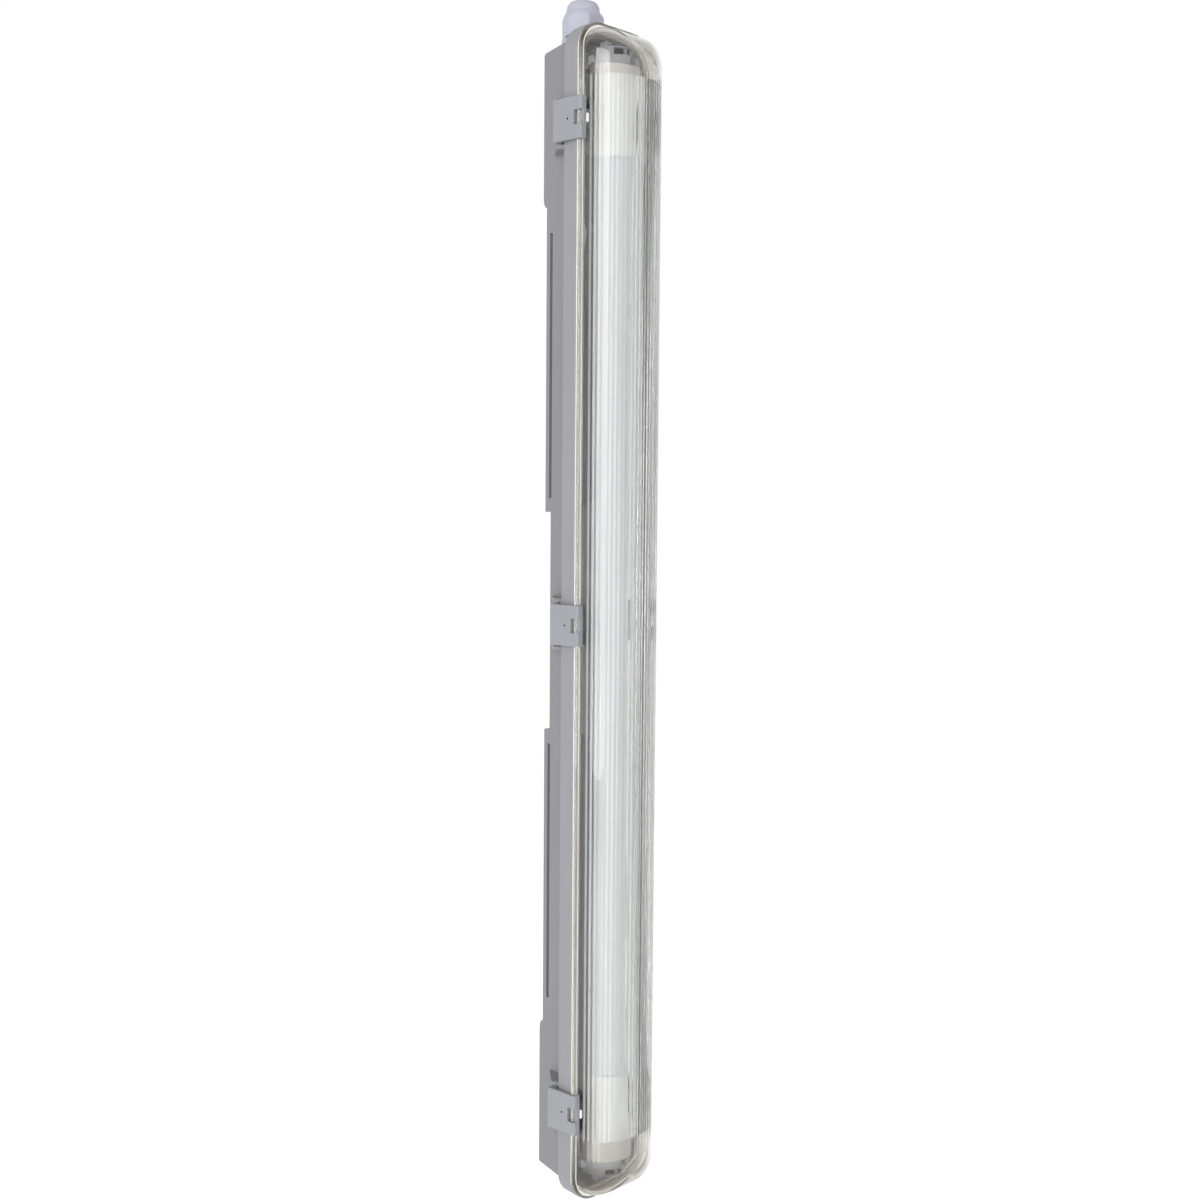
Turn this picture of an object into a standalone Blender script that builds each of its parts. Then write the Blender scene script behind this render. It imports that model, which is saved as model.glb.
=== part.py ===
"""Slim vapor tight light fixture for one 2 ft T8 LED tube, standing on end.

+Z is towards the cable gland, -Y towards the light.

The back plane that meets the wall or ceiling is y = 0, and the origin is at mid length. Depths are measured
forward from that plane, so a depth d lies at y = -d. All lengths are in metres.
"""

import math

import bmesh
import bpy
from mathutils import Matrix, Vector

# Running gaps and overruns
GAP = 0.0003
CUT = 0.002
MERGE = 0.00001

# Housing, from the back plane forward
PAD_STEP = 0.00315
RAIL_LIP = 0.0030
RAIL_SLOT = 0.0023
RAIL_SLOT_REACH = 0.0040
MIDDLE_STEP = 0.0079
APRON_HEIGHT = 0.0100
GROOVE_DEPTH = 0.0036
INNER_LIP_DROP = 0.0004
WALL = 0.0020
BACK_EDGE_CHAMFER = 0.0003

# Housing, half widths and half lengths
BACK_HALF_WIDTH = 0.0156
BACK_BEYOND_TUBE = 0.0132
BACK_CORNER = 0.0030
CHANNEL_FLARE = 0.0038
CHANNEL_END_FLARE = 0.0037
SHOULDER_FLARE = 0.0018
FLANGE_HALF_WIDTH = 0.0283
FLANGE_BEYOND_TUBE = 0.0218
FLANGE_CORNER = 0.0156
APRON_WALL = 0.0018
APRON_FLARE = 0.0009
LIP_ROUND = 0.0006
LIP_WALL = 0.0012
GROOVE_WIDTH = 0.0045
INNER_LIP = 0.0017
GROOVE_FLOOR = 0.0018

# Rails, pads and the hollows behind them
PAD_LENGTH = 0.0837
PAD_ROUND = 0.0060
PAD_ROUND_SHARES = (0.0, 0.4, 0.75, 1.0)
RAIL_MIDDLE_GAP = 0.0077
RAIL_PAD_GAP = 0.0139
MIDDLE_END = 0.0600
POCKET_MIDDLE_GAP = 0.0040
POCKET_PAD_GAP = 0.0155
BACK_END_WALL = 0.0048
PAD_SIDE_WALL = 0.0030
RAIL_SIDE_WALL = 0.0018
POCKET_WALL = 0.0024
RAIL_WALL = 0.0022

# Diffuser
RIM_INSET = 0.0002
RIM_THICKNESS = 0.0022
RIM_SIDE_STEP = 0.0022
RIM_END_STEP = 0.0035
DIFFUSER_CORNER = 0.0120
DIFFUSER_RISE = 0.0234
DIFFUSER_WALL = 0.0020
DIFFUSER_END_ROUND = 0.0203
NOSE_POWER_SHARE = 2.15
NOSE_ANGLE_SHARES = (0.0, 0.13, 0.26, 0.40, 0.54, 0.68, 0.81, 0.92)
LUG_LENGTH = 0.0047
LUG_WIDTH = 0.0018
LUG_HEIGHT = 0.0035
LUG_SET_IN = 0.0017

# Clips
CLIP_FROM_END = 0.0518
CLIP_HALF_HEIGHT = 0.0109
CLIP_WALL = 0.0018
CLIP_SIDE_GAP = 0.0010
HOOK_REACH = 0.0041
HOOK_CLEARANCE = 0.00115
HOOK_ROUND = 0.0011
HINGE_INSET = 0.0028
HINGE_SET_BACK = 0.0136
CLIP_TAIL = 0.0012
BARREL_RADIUS = 0.0020
TRUNNION_RADIUS = 0.0010
LUG_HOLE_RADIUS = 0.0013
HINGE_LUG_RADIUS = 0.0022
HINGE_LUG_THICKNESS = 0.0020
HINGE_LUG_SIDE_GAP = 0.0010
HINGE_LUG_START = 0.0085
WINDOW_HALF_HEIGHT = 0.0038
WINDOW_LENGTH = 0.0052
WINDOW_BAR = 0.0021
CLIP_HOLE_RADIUS = 0.00055
CLIP_HOLE_FROM_HINGE = 0.00935

# Lamp tube and its caps
TUBE_LENGTH = 0.5900
TUBE_RADIUS = 0.0129
TUBE_WALL = 0.0015
TUBE_AXIS_RISE = 0.0010
CAP_RADIUS = 0.0130
CAP_LENGTH = 0.0490
CAP_WALL = 0.0016
SPIGOT_LENGTH = 0.0080
SPIGOT_WALL = 0.0012
PIN_SPACING = 0.0127
PIN_RADIUS = 0.0012
PIN_LENGTH = 0.0070
PIN_ROOT = 0.0030
LED_BOARD_HALF_WIDTH = 0.0088
LED_BOARD_THICKNESS = 0.0012
LED_BOARD_OFFSET = 0.0069
DRIVER_HALF_WIDTH = 0.0086
DRIVER_OFFSET = 0.0044
DRIVER_LENGTH = 0.0420
DRIVER_PART_HEIGHT = 0.0060
DRIVER_PART_LENGTH = 0.0120

# Lampholders
HOLDER_RADIUS = 0.0126
HOLDER_PLATE = 0.0045
HOLDER_EAR_GAP = 0.0005
HOLDER_EAR_REACH = 0.0120
HOLDER_EAR_SET_BACK = 0.0035
HOLDER_CASE_RADIUS = 0.0099
HOLDER_CASE = 0.0052
HOLDER_BLOCK = 0.0024
HOLDER_BLOCK_OUTER = 0.0104
HOLDER_BLOCK_WIDTH = 0.0048
HOLDER_BLOCK_FORWARD = 0.0030
HOLDER_BLOCK_DEPTH = 0.0045
HOLDER_WINDOW_OUTER = 0.0077
HOLDER_WINDOW_INNER = 0.0024
HOLDER_WINDOW_BACK = 0.0050
ROTOR_RADIUS = 0.0078
ROTOR_FLOOR = 0.0012
ROTOR_SLOT_HALF = 0.0015
ENTRY_SLOT_HALF = 0.0016
CONTACT_THICKNESS = 0.0005
CONTACT_HALF_LENGTH = 0.0035
CONTACT_HEIGHT = 0.0030
HOLDER_RIB = 0.0015
HOLDER_RIB_REACH = 0.0030

# Terminal block and wires
TERMINAL_FROM_POCKET_END = 0.0254
TERMINAL_LENGTH = 0.0220
TERMINAL_FRONT_DEPTH = 0.0170
TERMINAL_SCREW_SPACING = 0.0100
TERMINAL_SCREW_RADIUS = 0.0017
TERMINAL_SCREW_DEPTH = 0.0060
WIRE_RADIUS = 0.0009
WIRE_STEP = 0.0060
WIRE_END_OFFSET = 0.0128
WIRE_END_SET_BACK = 0.0095
WIRE_LEAD = 0.0040
SLACK_ROUTE = (
    (-0.01, 0.02),
    (-0.0138, 0.029),
    (-0.0148, 0.0268),
    (-0.0132, 0.0292),
    (-0.0145, 0.0262),
    (-0.0138, 0.0225),
    (-0.0136, 0.0215),
    (-0.0136, 0.0215),
    (-0.0136, 0.0225),
    (-0.013, 0.026),
)
SLACK_ROUTE_SHARES = (0.824, 0.780, 0.742, 0.708, 0.631, 0.441, 0.068, -0.339, -0.678, -0.888)

# Cable gland
GLAND_BACK_GAP = 0.0011
GLAND_HOLDER_GAP = 0.0023
GLAND_BOSS_RADIUS = 0.0120
GLAND_BOSS = 0.0018
GLAND_THREAD_RADIUS = 0.0091
GLAND_BORE_RADIUS = 0.0062
GLAND_FLANGE_RADIUS = 0.0115
GLAND_FLANGE = 0.0028
GLAND_WASHER = 0.0010
GLAND_STUB = 0.0124
GLAND_BODY_ABOVE = 0.0100
GLAND_NUT_GAP = 0.0011
GLAND_NUT_FLATS = 0.0205
GLAND_NUT_HEX = 0.0102
GLAND_NUT_CHAMFER = 0.0036
GLAND_NUT_DOME_RADIUS = 0.0091
GLAND_NUT_DOME = 0.0054
GLAND_NUT_BORE_RADIUS = 0.0052
GLAND_SEAL_WALL = 0.0028
GLAND_SEAL_SEAT = 0.0024
GLAND_LOCKNUT_WALL = 0.0014
GLAND_LOCKNUT = 0.0040

# Counts
CORNER_STEPS = 6
ROUND_STEPS = 32
SMALL_STEPS = 16
DOME_STEPS = 5

SIDES = {"left": -1, "right": 1}
PLACES = {"top": 1, "middle": 0, "bottom": -1}

OBJECT_NAME = "vapor_tight_light_fixture"


def clear_scene():
    for item in list(bpy.data.objects):
        bpy.data.objects.remove(item, do_unlink=True)


def collection(name):
    made = bpy.data.collections.new(name)
    bpy.context.scene.collection.children.link(made)
    return made


def material(name, colour, roughness, metallic=0.0, alpha=1.0):
    made = bpy.data.materials.new(name)
    made.use_nodes = True
    shader = made.node_tree.nodes["Principled BSDF"]
    shader.inputs["Base Color"].default_value = (*colour, 1.0)
    shader.inputs["Roughness"].default_value = roughness
    shader.inputs["Metallic"].default_value = metallic
    shader.inputs["Alpha"].default_value = alpha
    return made


def mesh_object(name, bm, finish, place=(0.0, 0.0, 0.0)):
    """Puts a bmesh that was built in world space into an object whose origin is at place."""
    bmesh.ops.recalc_face_normals(bm, faces=bm.faces)
    bmesh.ops.translate(bm, verts=bm.verts, vec=-Vector(place))
    data = bpy.data.meshes.new(name)
    bm.to_mesh(data)
    bm.free()
    data.shade_smooth()
    data.set_sharp_from_angle(angle=math.radians(35))
    made = bpy.data.objects.new(name, data)
    made.location = place
    if finish is None:
        cutters.objects.link(made)
        made.hide_render = True
        made.display_type = "WIRE"
    else:
        data.materials.append(finish)
        parts.objects.link(made)
    return made


def boolean(target, other, operation):
    change = target.modifiers.new(f"{operation.lower()} {other.name}", "BOOLEAN")
    change.operation = operation
    change.solver = "EXACT"
    change.object = other


def cut(target, *others):
    for other in others:
        boolean(target, other, "DIFFERENCE")


def join(target, *others):
    for other in others:
        boolean(target, other, "UNION")


def box_mesh(low, high):
    bm = bmesh.new()
    bmesh.ops.create_cube(bm, size=1.0)
    low, high = Vector(low), Vector(high)
    size = high - low
    place = Matrix.Translation((low + high) / 2)
    bmesh.ops.transform(bm, verts=bm.verts, matrix=place @ Matrix.Diagonal((*size, 1)))
    return bm


def box(name, low, high, finish=None, place=(0.0, 0.0, 0.0)):
    return mesh_object(name, box_mesh(low, high), finish, place)


def cylinder(name, radius, low, high, centre, finish=None, steps=SMALL_STEPS, axis="Z", place=(0.0, 0.0, 0.0)):
    """A cylinder from low to high along its axis, round the other two coordinates in centre."""
    bm = bmesh.new()
    bmesh.ops.create_cone(
        bm, cap_ends=True, segments=steps, radius1=radius, radius2=radius, depth=high - low
    )
    bmesh.ops.translate(bm, verts=bm.verts, vec=(0, 0, (low + high) / 2))
    if axis == "Y":
        bmesh.ops.rotate(bm, verts=bm.verts, matrix=Matrix.Rotation(-math.pi / 2, 3, "X"))
        shift = (centre[0], 0, centre[1])
    elif axis == "X":
        bmesh.ops.rotate(bm, verts=bm.verts, matrix=Matrix.Rotation(math.pi / 2, 3, "Y"))
        shift = (0, centre[0], centre[1])
    else:
        shift = (centre[0], centre[1], 0)
    bmesh.ops.translate(bm, verts=bm.verts, vec=shift)
    return mesh_object(name, bm, finish, place)


def turned(name, profile, centre, finish=None, steps=ROUND_STEPS):
    """A closed profile of (radius, z) pairs, turned about the vertical line through centre."""
    bm = bmesh.new()
    rings = []
    for turn in range(steps):
        angle = 2 * math.pi * turn / steps
        across, along = math.cos(angle), math.sin(angle)
        rings.append([bm.verts.new((centre[0] + r * across, centre[1] + r * along, z)) for r, z in profile])
    bridge_rings(bm, rings, True)
    bmesh.ops.remove_doubles(bm, verts=bm.verts, dist=MERGE)
    return mesh_object(name, bm, finish, (centre[0], centre[1], 0.0))


def bridge_rings(bm, rings, closed):
    """Quads between neighbouring rings of points, and from the last ring to the first if closed."""
    count = len(rings[0])
    last = len(rings) if closed else len(rings) - 1
    for row in range(last):
        here, there = rings[row], rings[(row + 1) % len(rings)]
        for step in range(count):
            onward = (step + 1) % count
            bm.faces.new((here[step], here[onward], there[onward], there[step]))


def outline(half_width, half_length, corner, depth):
    """A rounded rectangle across X and Z at one depth."""
    corner = min(corner, half_width)
    points = []
    for quarter in range(4):
        across = (half_width - corner) * (1 if quarter in (0, 3) else -1)
        along = (half_length - corner) * (1 if quarter in (0, 1) else -1)
        for step in range(CORNER_STEPS + 1):
            angle = math.pi / 2 * (quarter + step / CORNER_STEPS)
            points.append((across + corner * math.cos(angle), -depth, along + corner * math.sin(angle)))
    return points


def loft(name, outlines, finish, closed=False):
    """A surface through outlines of equal point counts, capped at both ends unless it closes on itself."""
    bm = bmesh.new()
    rings = [[bm.verts.new(point) for point in points] for points in outlines]
    bridge_rings(bm, rings, closed)
    if not closed:
        bm.faces.new(rings[0])
        bm.faces.new(rings[-1])
    return mesh_object(name, bm, finish)


def prism(name, points, low, high, axis, finish=None, place=(0.0, 0.0, 0.0)):
    """A polygon of coordinate pairs, extruded along one axis from low to high."""
    order = {"X": lambda a, b, t: (t, a, b), "Z": lambda a, b, t: (a, b, t)}[axis]
    bm = bmesh.new()
    ends = [[bm.verts.new(order(a, b, t)) for a, b in points] for t in (low, high)]
    bridge_rings(bm, ends, False)
    for end in ends:
        bm.faces.new(end)
    return mesh_object(name, bm, finish, place)


def arc(centre, radius, start, stop, steps):
    """Points along a circular arc, angles in degrees."""
    for step in range(steps + 1):
        angle = math.radians(start + (stop - start) * step / steps)
        yield centre[0] + radius * math.cos(angle), centre[1] + radius * math.sin(angle)


def flange_outline(inset, depth):
    """The flange's outline, drawn in by inset."""
    return outline(FLANGE_HALF_WIDTH - inset, flange_half_length - inset, FLANGE_CORNER - inset, depth)


# Places that several pieces share, along the length
tube_half = TUBE_LENGTH / 2
back_half_length = tube_half + BACK_BEYOND_TUBE
flange_half_length = tube_half + FLANGE_BEYOND_TUBE
diffuser_half_length = flange_half_length - RIM_END_STEP
clip_spacing = flange_half_length - CLIP_FROM_END
pad_start = back_half_length - PAD_LENGTH
rail_start = MIDDLE_END + RAIL_MIDDLE_GAP
rail_end = pad_start - RAIL_PAD_GAP
pocket_start = MIDDLE_END + POCKET_MIDDLE_GAP
pocket_step = pad_start + POCKET_PAD_GAP
pocket_end = back_half_length - BACK_END_WALL
terminal_top = pocket_end - TERMINAL_FROM_POCKET_END
gland_boss_top = back_half_length + GLAND_BOSS
gland_stub_end = gland_boss_top - GLAND_STUB

# Depths and half widths that several pieces share: the gland passes behind the lampholder
gland_locknut_flats = 2 * (GLAND_THREAD_RADIUS + GLAND_LOCKNUT_WALL)
gland_depth = POCKET_WALL + GLAND_BACK_GAP + gland_locknut_flats / 2
flange_depth = gland_depth + GLAND_THREAD_RADIUS + GLAND_HOLDER_GAP + HOLDER_RADIUS - TUBE_AXIS_RISE
channel_depth = flange_depth - APRON_HEIGHT
groove_back_depth = flange_depth - GROOVE_DEPTH
hinge_depth = flange_depth - HINGE_SET_BACK
tube_axis_depth = flange_depth + TUBE_AXIS_RISE
diffuser_depth = flange_depth + DIFFUSER_RISE
holder_ear_back = tube_axis_depth - HOLDER_EAR_REACH
holder_ear_front = tube_axis_depth - HOLDER_EAR_SET_BACK
wire_end_depth = tube_axis_depth - WIRE_END_SET_BACK
pocket_half_width = BACK_HALF_WIDTH - PAD_SIDE_WALL
rail_pocket_half_width = BACK_HALF_WIDTH - RAIL_SLOT_REACH - RAIL_SIDE_WALL
rim_half_width = FLANGE_HALF_WIDTH - RIM_INSET
diffuser_half_width = rim_half_width - RIM_SIDE_STEP
groove_outer = LIP_WALL
groove_inner = groove_outer + GROOVE_WIDTH
lip_inner = groove_inner + INNER_LIP
shoulder_depth = groove_back_depth - GROOVE_FLOOR
rim_back = flange_depth + GAP
rim_front = rim_back + RIM_THICKNESS
tube_end = tube_half - CAP_LENGTH
hinge_x = rim_half_width + CLIP_SIDE_GAP - HINGE_INSET
clip_inner = rim_half_width + CLIP_SIDE_GAP
clip_outer = clip_inner + CLIP_WALL
hook_inner = rim_front + HOOK_CLEARANCE
hook_outer = hook_inner + CLIP_WALL
lug_start = CLIP_HALF_HEIGHT + HINGE_LUG_SIDE_GAP
lug_end = lug_start + HINGE_LUG_THICKNESS
holder_face = tube_half + GAP
holder_case_end = holder_face + HOLDER_PLATE + HOLDER_CASE
rotor_end = holder_face + GAP + PIN_LENGTH + GAP + ROTOR_FLOOR
cavity_radius = ROTOR_RADIUS + GAP + GAP / 3
contact_inner = ROTOR_RADIUS + GAP
contact_outer = contact_inner + CONTACT_THICKNESS
gland_flange_low = gland_boss_top + GAP + GLAND_WASHER + GAP
gland_flange_top = gland_flange_low + GLAND_FLANGE
nut_low = gland_flange_top + GLAND_NUT_GAP
tube_axis = (0.0, -tube_axis_depth)
gland_axis = (0.0, -gland_depth)


def channel_half_width(depth):
    """The outer half width of the back channel at one depth."""
    return BACK_HALF_WIDTH + CHANNEL_FLARE * depth / channel_depth


def channel_half_length(depth):
    return back_half_length + CHANNEL_END_FLARE * depth / channel_depth


def housing_outlines():
    """From the back face round the apron and the gasket groove to the inside floor."""
    back = outline(
        BACK_HALF_WIDTH - BACK_EDGE_CHAMFER, back_half_length - BACK_EDGE_CHAMFER, BACK_CORNER, 0.0
    )
    edge = outline(BACK_HALF_WIDTH, back_half_length, BACK_CORNER, BACK_EDGE_CHAMFER)
    channel_w, channel_l = channel_half_width(channel_depth), channel_half_length(channel_depth)
    channel_top = outline(channel_w, channel_l, BACK_CORNER, channel_depth)
    shoulder_w = channel_w + SHOULDER_FLARE
    shoulder = outline(shoulder_w, channel_l, BACK_CORNER + SHOULDER_FLARE, shoulder_depth)
    apron_in = APRON_FLARE + APRON_WALL
    floor_depth = MIDDLE_STEP + RAIL_SLOT + GAP + GAP
    floor_w = channel_half_width(floor_depth) - WALL
    floor_l = channel_half_length(floor_depth) - WALL
    inner_l = min(flange_half_length - lip_inner, channel_l - WALL)
    return [
        back,
        edge,
        channel_top,
        shoulder,
        flange_outline(APRON_WALL, shoulder_depth),
        flange_outline(apron_in, channel_depth),
        flange_outline(APRON_FLARE, channel_depth),
        flange_outline(0.0, flange_depth - LIP_ROUND),
        flange_outline(LIP_ROUND, flange_depth),
        flange_outline(groove_outer, flange_depth),
        flange_outline(groove_outer, groove_back_depth),
        flange_outline(groove_inner, groove_back_depth),
        flange_outline(groove_inner, flange_depth - INNER_LIP_DROP),
        flange_outline(lip_inner, flange_depth - INNER_LIP_DROP),
        flange_outline(lip_inner, groove_back_depth),
        outline(shoulder_w - WALL, inner_l, BACK_CORNER + SHOULDER_FLARE - WALL, shoulder_depth),
        outline(channel_w - WALL, inner_l, BACK_CORNER - WALL, channel_depth),
        outline(floor_w, floor_l, BACK_CORNER - WALL, floor_depth),
    ]


def back_steps():
    """Cutters for the step between the two end pads, and for the shallower middle between the rails."""
    wide = BACK_HALF_WIDTH + CUT
    upper = [(CUT, pad_start + PAD_ROUND)]
    for share in PAD_ROUND_SHARES[::-1]:
        upper.append((-PAD_STEP * (1 - share), pad_start + PAD_ROUND * (1 - math.sqrt(1 - share**2))))
    lower = [(y, -z) for y, z in upper[::-1]]
    between = prism("pad_step_cutter", [*upper, *lower], -wide, wide, "X")
    middle = box("middle_step_cutter", (-wide, -MIDDLE_STEP, -MIDDLE_END), (wide, CUT, MIDDLE_END))
    return between, middle


def rail_cutters():
    """The four side slots that the mounting brackets grip."""
    slot_back = PAD_STEP + RAIL_LIP
    made = []
    for side, sign in SIDES.items():
        for place, along in (("top", 1), ("bottom", -1)):
            near = sign * (BACK_HALF_WIDTH - RAIL_SLOT_REACH)
            far = sign * (BACK_HALF_WIDTH + CHANNEL_FLARE)
            low = (min(near, far), -slot_back - RAIL_SLOT, min(along * rail_start, along * rail_end))
            high = (max(near, far), -slot_back, max(along * rail_start, along * rail_end))
            made.append(box(f"rail_slot_cutter_{side}_{place}", low, high))
    return made


def pocket_cutters():
    """Hollows behind the pads and the rails, so that the moulding keeps an even wall."""
    made = []
    front = -MIDDLE_STEP - RAIL_SLOT - CUT
    for place, along in (("top", 1), ("bottom", -1)):
        ends = sorted((along * pocket_step, along * pocket_end))
        high = (pocket_half_width, -POCKET_WALL, ends[1])
        made.append(box(f"pad_pocket_{place}", (-pocket_half_width, front, ends[0]), high))
        ends = sorted((along * pocket_start, along * (pocket_step + CUT)))
        made.append(
            box(
                f"rail_pocket_{place}",
                (-rail_pocket_half_width, front, ends[0]),
                (rail_pocket_half_width, -PAD_STEP - RAIL_WALL, ends[1]),
            )
        )
    return made


def hinge_lug_outline():
    """A gusset from the channel wall to the apron, with an eye round the hinge axis, as (x, depth) pairs."""
    wall = WALL / 2
    shoulder_wall = channel_half_width(channel_depth) + SHOULDER_FLARE - wall
    apron = FLANGE_HALF_WIDTH - APRON_FLARE - APRON_WALL / 3
    return [
        (channel_half_width(HINGE_LUG_START) - wall, HINGE_LUG_START),
        *arc((hinge_x, hinge_depth), HINGE_LUG_RADIUS, -40, 60, CORNER_STEPS),
        (apron, channel_depth + APRON_WALL),
        (FLANGE_HALF_WIDTH - APRON_WALL, shoulder_depth + GAP),
        (shoulder_wall, shoulder_depth + GAP),
        (channel_half_width(channel_depth) - wall, channel_depth),
    ]


def hinge_lugs():
    """Two lugs for each clip, and the cutters for the holes that take its trunnions."""
    lugs, holes = [], []
    profile = hinge_lug_outline()
    for side, sign in SIDES.items():
        points = [(sign * x, -depth) for x, depth in profile]
        for place, along in PLACES.items():
            middle = along * clip_spacing
            for end, tag in ((-1, "lower"), (1, "upper")):
                levels = sorted(middle + end * z for z in (lug_start, lug_end))
                lugs.append(prism(f"hinge_lug_{side}_{place}_{tag}", points, *levels, "Z"))
            span = (middle - lug_end - CUT / 2, middle + lug_end + CUT / 2)
            centre = (sign * hinge_x, -hinge_depth)
            holes.append(cylinder(f"hinge_hole_{side}_{place}", LUG_HOLE_RADIUS, *span, centre))
    return lugs, holes


def holder_ribs():
    """Pairs of ribs on the side walls that hold the ears of each lampholder."""
    made = []
    outer = channel_half_width(channel_depth) - WALL / 2
    inner = channel_half_width(holder_ear_back) - WALL - HOLDER_RIB_REACH
    starts = {"near": holder_face - GAP - HOLDER_RIB, "far": holder_face + HOLDER_PLATE + GAP}
    for side, sign in SIDES.items():
        for place, along in (("top", 1), ("bottom", -1)):
            for name, start in starts.items():
                across = sorted((sign * inner, sign * outer))
                span = sorted((along * start, along * (start + HOLDER_RIB)))
                low = (across[0], -shoulder_depth, span[0])
                high = (across[1], -holder_ear_back, span[1])
                made.append(box(f"holder_rib_{side}_{place}_{name}", low, high))
    return made


def housing(finish):
    made = loft("housing", housing_outlines(), finish)
    boss = (pocket_end + WALL / 2, gland_boss_top + WALL / 2)
    join(made, cylinder("gland_boss", GLAND_BOSS_RADIUS, *boss, gland_axis, steps=ROUND_STEPS))
    lugs, holes = hinge_lugs()
    join(made, *lugs, *holder_ribs())
    face = (gland_boss_top, channel_half_length(channel_depth) + CUT)
    cut(made, cylinder("gland_spot_face", GLAND_BOSS_RADIUS + GAP, *face, gland_axis, steps=ROUND_STEPS))
    cut(made, *back_steps(), *rail_cutters(), *pocket_cutters(), *holes)
    hole_radius = GLAND_THREAD_RADIUS + GAP
    span = (pocket_end - CUT, gland_boss_top + CUT)
    cut(made, cylinder("gland_hole_cutter", hole_radius, *span, gland_axis, steps=ROUND_STEPS))
    return made


def gasket(finish):
    near, far = groove_outer + GAP, groove_inner - GAP
    back, front = groove_back_depth + GAP, flange_depth
    rings = [
        flange_outline(near, back),
        flange_outline(near, front),
        flange_outline(far, front),
        flange_outline(far, back),
    ]
    return loft("gasket", rings, finish, closed=True)


def nose_outlines(inset):
    """Outlines of the cover from the rim forward, shrinking as a superellipse, all drawn in by inset."""
    reach = diffuser_depth - inset - rim_front
    made = []
    for share in NOSE_ANGLE_SHARES:
        angle = math.pi / 2 * share
        closeness = math.cos(angle) ** (2 / NOSE_POWER_SHARE)
        forward = math.sin(angle) ** (2 / NOSE_POWER_SHARE)
        half_width = (diffuser_half_width - inset) * closeness
        half_length = diffuser_half_length - inset - DIFFUSER_END_ROUND * (1 - closeness)
        made.append(outline(half_width, half_length, DIFFUSER_CORNER - inset, rim_front + reach * forward))
    return made


def diffuser(finish):
    spread = rim_half_width - FLANGE_HALF_WIDTH
    inner = nose_outlines(DIFFUSER_WALL)
    inner_rim = outline(
        diffuser_half_width - DIFFUSER_WALL,
        diffuser_half_length - DIFFUSER_WALL,
        DIFFUSER_CORNER - DIFFUSER_WALL,
        rim_back,
    )
    rim = [flange_outline(-spread, rim_back), flange_outline(-spread, rim_front)]
    made = loft("diffuser", [*inner[::-1], inner_rim, *rim, *nose_outlines(0.0)], finish)
    outer = rim_half_width - LUG_SET_IN
    for side, sign in SIDES.items():
        for place, along in (("top", 1), ("bottom", -1)):
            across = sorted((sign * (outer - LUG_WIDTH), sign * outer))
            middle = along * clip_spacing
            low = (across[0], -rim_front - LUG_HEIGHT, middle - LUG_LENGTH / 2)
            high = (across[1], -rim_front + RIM_THICKNESS / 2, middle + LUG_LENGTH / 2)
            join(made, box(f"cover_lug_{side}_{place}", low, high))
    return made


def clip(side, sign, place, along, finish):
    """A flat plate with a barrel at its back end, a hook over the rim and a window open to the front."""
    middle = along * clip_spacing
    levels = (middle - CLIP_HALF_HEIGHT, middle + CLIP_HALF_HEIGHT)
    bar = clip_outer - HOOK_REACH
    corner = (clip_outer - HOOK_ROUND, hook_outer - HOOK_ROUND)
    web = math.degrees(math.asin(CLIP_TAIL / BARREL_RADIUS))
    profile = [
        (clip_outer, hinge_depth - CLIP_TAIL),
        *arc(corner, HOOK_ROUND, 0, 90, 4),
        (bar, hook_outer),
        (bar, hook_inner),
        (clip_inner, hook_inner),
        (clip_inner, hinge_depth + CLIP_TAIL),
        *arc((hinge_x, hinge_depth), BARREL_RADIUS, web, 360 - web, 8),
    ]
    origin = (sign * hinge_x, -hinge_depth, middle)
    points = [(sign * x, -depth) for x, depth in profile]
    tag = f"{side}_{place}"
    made = prism(f"clip_{tag}", points, *levels, "Z", finish, origin)
    join(made, cylinder(f"clip_trunnion_{tag}", TRUNNION_RADIUS, middle - lug_end, middle + lug_end, origin[:2]))
    window = sorted((sign * (bar + WINDOW_BAR), sign * (clip_outer + CUT)))
    hole = sorted((sign * (clip_inner - CUT), sign * (clip_outer + CUT)))
    hole_centre = (-hinge_depth - CLIP_HOLE_FROM_HINGE, middle)
    cut(
        made,
        box(
            f"clip_window_{tag}",
            (window[0], -hook_outer - CUT, middle - WINDOW_HALF_HEIGHT),
            (window[1], -hook_outer + WINDOW_LENGTH, middle + WINDOW_HALF_HEIGHT),
        ),
        cylinder(f"clip_hole_{tag}", CLIP_HOLE_RADIUS, *hole, hole_centre, axis="X", steps=8),
    )
    return made


def lamp_tube(finish):
    outer, inner = TUBE_RADIUS, TUBE_RADIUS - TUBE_WALL
    end = tube_end - GAP
    profile = [(outer, end), (inner, end), (inner, -end), (outer, -end)]
    return turned("lamp_tube", profile, tube_axis, finish)


def tube_cap(place, along, finish):
    """A long hollow cap with a spigot inside the tube, closed by the end face that carries the pins."""
    spigot = TUBE_RADIUS - TUBE_WALL - GAP
    inner = spigot - SPIGOT_WALL
    profile = [
        (CAP_RADIUS, tube_half),
        (0.0, tube_half),
        (0.0, tube_half - CAP_WALL),
        (inner, tube_half - CAP_WALL),
        (inner, tube_end - SPIGOT_LENGTH),
        (spigot, tube_end - SPIGOT_LENGTH),
        (spigot, tube_end),
        (CAP_RADIUS, tube_end),
    ]
    made = turned(f"tube_cap_{place}", [(r, along * z) for r, z in profile], tube_axis, finish)
    for side, sign in SIDES.items():
        centre = (sign * PIN_SPACING / 2, -tube_axis_depth)
        span = sorted((along * (tube_half - CAP_WALL - CUT), along * (tube_half + CUT)))
        cut(made, cylinder(f"pin_hole_{side}_{place}", PIN_RADIUS + GAP, *span, centre))
    return made


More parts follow.
